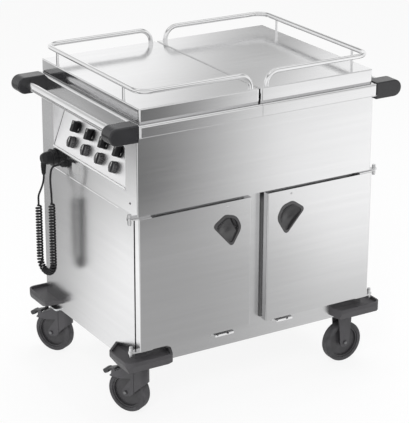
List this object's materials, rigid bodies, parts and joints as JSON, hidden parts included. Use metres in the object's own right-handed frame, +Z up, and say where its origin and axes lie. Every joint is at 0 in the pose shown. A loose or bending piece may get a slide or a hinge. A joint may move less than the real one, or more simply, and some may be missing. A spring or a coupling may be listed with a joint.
{
  "type": "hostess trolley",
  "caption": "Mobile stainless serving trolley: covered wells with sliding railed lids over a two-door cupboard, with side controls, push tubes, bumpers and braked castors.",
  "frame": {"origin": "on the floor, under the centre of the overall box", "axes": "+Z up; the doors face -Y; +X to the right as seen from the front, so the controls are on the -X end"},
  "size_m": [0.95, 0.6666, 0.9745],
  "materials": {
    "stainless": "brushed",
    "polished_tube": "polished",
    "moulded_grey": "fine matt moulded",
    "gasket": "matt",
    "dark_metal": "satin",
    "castor_grey": "matt moulded",
    "zinc": "zinc plated",
    "wheel_rubber": "matt",
    "black_plastic": "satin",
    "cable": "satin"
  },
  "bodies": {
    "trolley": {"lower_side_left": "stainless", "lower_side_right": "stainless", "floor_and_rear": "stainless", "front_frame": "stainless", "liner_left": "stainless", "liner_right": "stainless", "runner_ledges": "stainless", "upper_housing": "stainless", "control_panel": "stainless", "worktop_left": "stainless", "worktop_right": "stainless", "well_left": "stainless", "well_right": "stainless", "slide_rails": "stainless", "grip_front_left": "moulded_grey", "grip_rear_left": "moulded_grey", "grip_front_right": "moulded_grey", "grip_rear_right": "moulded_grey", "push_tube_left": "polished_tube", "push_tube_right": "polished_tube", "bumper_front_left": "moulded_grey", "bumper_rear_left": "moulded_grey", "bumper_front_right": "moulded_grey", "bumper_rear_right": "moulded_grey", "hinge_brackets": "stainless", "door_catches": "dark_metal", "parking_socket": "black_plastic", "cord_gland": "black_plastic", "castor_heads": "zinc", "fixed_forks": "castor_grey", "plug": "black_plastic", "cord_plug_end": "cable", "cord_coil": "cable", "cord_gland_end": "cable"},
    "lid_left": {"lid_left": "stainless", "gallery_left": "polished_tube"},
    "door_left": {"door_left": "stainless", "door_grip_left": "moulded_grey", "door_seal_left": "gasket"},
    "lid_right": {"lid_right": "stainless", "gallery_right": "polished_tube"},
    "door_right": {"door_right": "stainless", "door_grip_right": "moulded_grey", "door_seal_right": "gasket"},
    "castor_fork_front_left": {"fork_front_left": "castor_grey"},
    "castor_wheel_front_left": {"wheel_front_left": "wheel_rubber"},
    "castor_wheel_front_right": {"wheel_front_right": "wheel_rubber"},
    "pedal_front_left": {"brake_pedal_front_left": "castor_grey"},
    "castor_fork_rear_left": {"fork_rear_left": "castor_grey"},
    "castor_wheel_rear_left": {"wheel_rear_left": "wheel_rubber"},
    "castor_wheel_rear_right": {"wheel_rear_right": "wheel_rubber"},
    "pedal_rear_left": {"brake_pedal_rear_left": "castor_grey"},
    "switch_a": {"switch_knob_a": "black_plastic"},
    "thermostat_a": {"stat_knob_a": "black_plastic"},
    "switch_b": {"switch_knob_b": "black_plastic"},
    "thermostat_b": {"stat_knob_b": "black_plastic"},
    "switch_c": {"switch_knob_c": "black_plastic"},
    "thermostat_c": {"stat_knob_c": "black_plastic"},
    "switch_d": {"switch_knob_d": "black_plastic"},
    "thermostat_d": {"stat_knob_d": "black_plastic"}
  },
  "joints": [
    {"name": "lid_left_slide", "type": "slide", "parent": "trolley", "child": "lid_left", "axis": [-1, 0, 0], "range_m": [0, 0.33]},
    {"name": "lid_right_slide", "type": "slide", "parent": "trolley", "child": "lid_right", "axis": [1, 0, 0], "range_m": [0, 0.33]},
    {"name": "door_left_hinge", "type": "hinge", "parent": "trolley", "child": "door_left", "pos_m": [-0.406, -0.297, 0.42], "axis": [0, 0, -1], "range_deg": [0, 265]},
    {"name": "door_right_hinge", "type": "hinge", "parent": "trolley", "child": "door_right", "pos_m": [0.406, -0.297, 0.42], "axis": [0, 0, 1], "range_deg": [0, 265]},
    {"name": "castor_swivel_front_left", "type": "hinge", "parent": "trolley", "child": "castor_fork_front_left", "pos_m": [-0.348, -0.2455, 0.147], "axis": [0, 0, 1], "continuous": true},
    {"name": "wheel_spin_front_left", "type": "hinge", "parent": "castor_fork_front_left", "child": "castor_wheel_front_left", "pos_m": [-0.36572, -0.21189, 0.0625], "axis": [-0.8846, -0.4664, 0], "continuous": true},
    {"name": "brake_pedal_tip_front_left", "type": "hinge", "parent": "castor_fork_front_left", "child": "pedal_front_left", "pos_m": [-0.38531, -0.17473, 0.122], "axis": [-0.8846, -0.4664, 0], "range_deg": [0, 14]},
    {"name": "wheel_spin_front_right", "type": "hinge", "parent": "trolley", "child": "castor_wheel_front_right", "pos_m": [0.348, -0.2455, 0.0625], "axis": [0, 1, 0], "continuous": true},
    {"name": "castor_swivel_rear_left", "type": "hinge", "parent": "trolley", "child": "castor_fork_rear_left", "pos_m": [-0.348, 0.2285, 0.147], "axis": [0, 0, 1], "continuous": true},
    {"name": "wheel_spin_rear_left", "type": "hinge", "parent": "castor_fork_rear_left", "child": "castor_wheel_rear_left", "pos_m": [-0.36572, 0.26211, 0.0625], "axis": [-0.8846, -0.4664, 0], "continuous": true},
    {"name": "brake_pedal_tip_rear_left", "type": "hinge", "parent": "castor_fork_rear_left", "child": "pedal_rear_left", "pos_m": [-0.38531, 0.29927, 0.122], "axis": [-0.8846, -0.4664, 0], "range_deg": [0, 14]},
    {"name": "wheel_spin_rear_right", "type": "hinge", "parent": "trolley", "child": "castor_wheel_rear_right", "pos_m": [0.348, 0.2285, 0.0625], "axis": [0, 1, 0], "continuous": true},
    {"name": "switch_turn_a", "type": "hinge", "parent": "trolley", "child": "switch_a", "pos_m": [-0.35763, 0.0885, 0.763], "axis": [0.9383, 0, -0.3457], "range_deg": [0, 90]},
    {"name": "thermostat_turn_a", "type": "hinge", "parent": "trolley", "child": "thermostat_a", "pos_m": [-0.37347, 0.0885, 0.72], "axis": [0.9383, 0, -0.3457], "range_deg": [0, 270]},
    {"name": "switch_turn_b", "type": "hinge", "parent": "trolley", "child": "switch_b", "pos_m": [-0.35763, 0.0045, 0.763], "axis": [0.9383, 0, -0.3457], "range_deg": [0, 90]},
    {"name": "thermostat_turn_b", "type": "hinge", "parent": "trolley", "child": "thermostat_b", "pos_m": [-0.37347, 0.0045, 0.72], "axis": [0.9383, 0, -0.3457], "range_deg": [0, 270]},
    {"name": "switch_turn_c", "type": "hinge", "parent": "trolley", "child": "switch_c", "pos_m": [-0.35763, -0.0795, 0.763], "axis": [0.9383, 0, -0.3457], "range_deg": [0, 90]},
    {"name": "thermostat_turn_c", "type": "hinge", "parent": "trolley", "child": "thermostat_c", "pos_m": [-0.37347, -0.0795, 0.72], "axis": [0.9383, 0, -0.3457], "range_deg": [0, 270]},
    {"name": "switch_turn_d", "type": "hinge", "parent": "trolley", "child": "switch_d", "pos_m": [-0.35763, -0.1635, 0.763], "axis": [0.9383, 0, -0.3457], "range_deg": [0, 90]},
    {"name": "thermostat_turn_d", "type": "hinge", "parent": "trolley", "child": "thermostat_d", "pos_m": [-0.37347, -0.1635, 0.72], "axis": [0.9383, 0, -0.3457], "range_deg": [0, 270]}
  ]
}
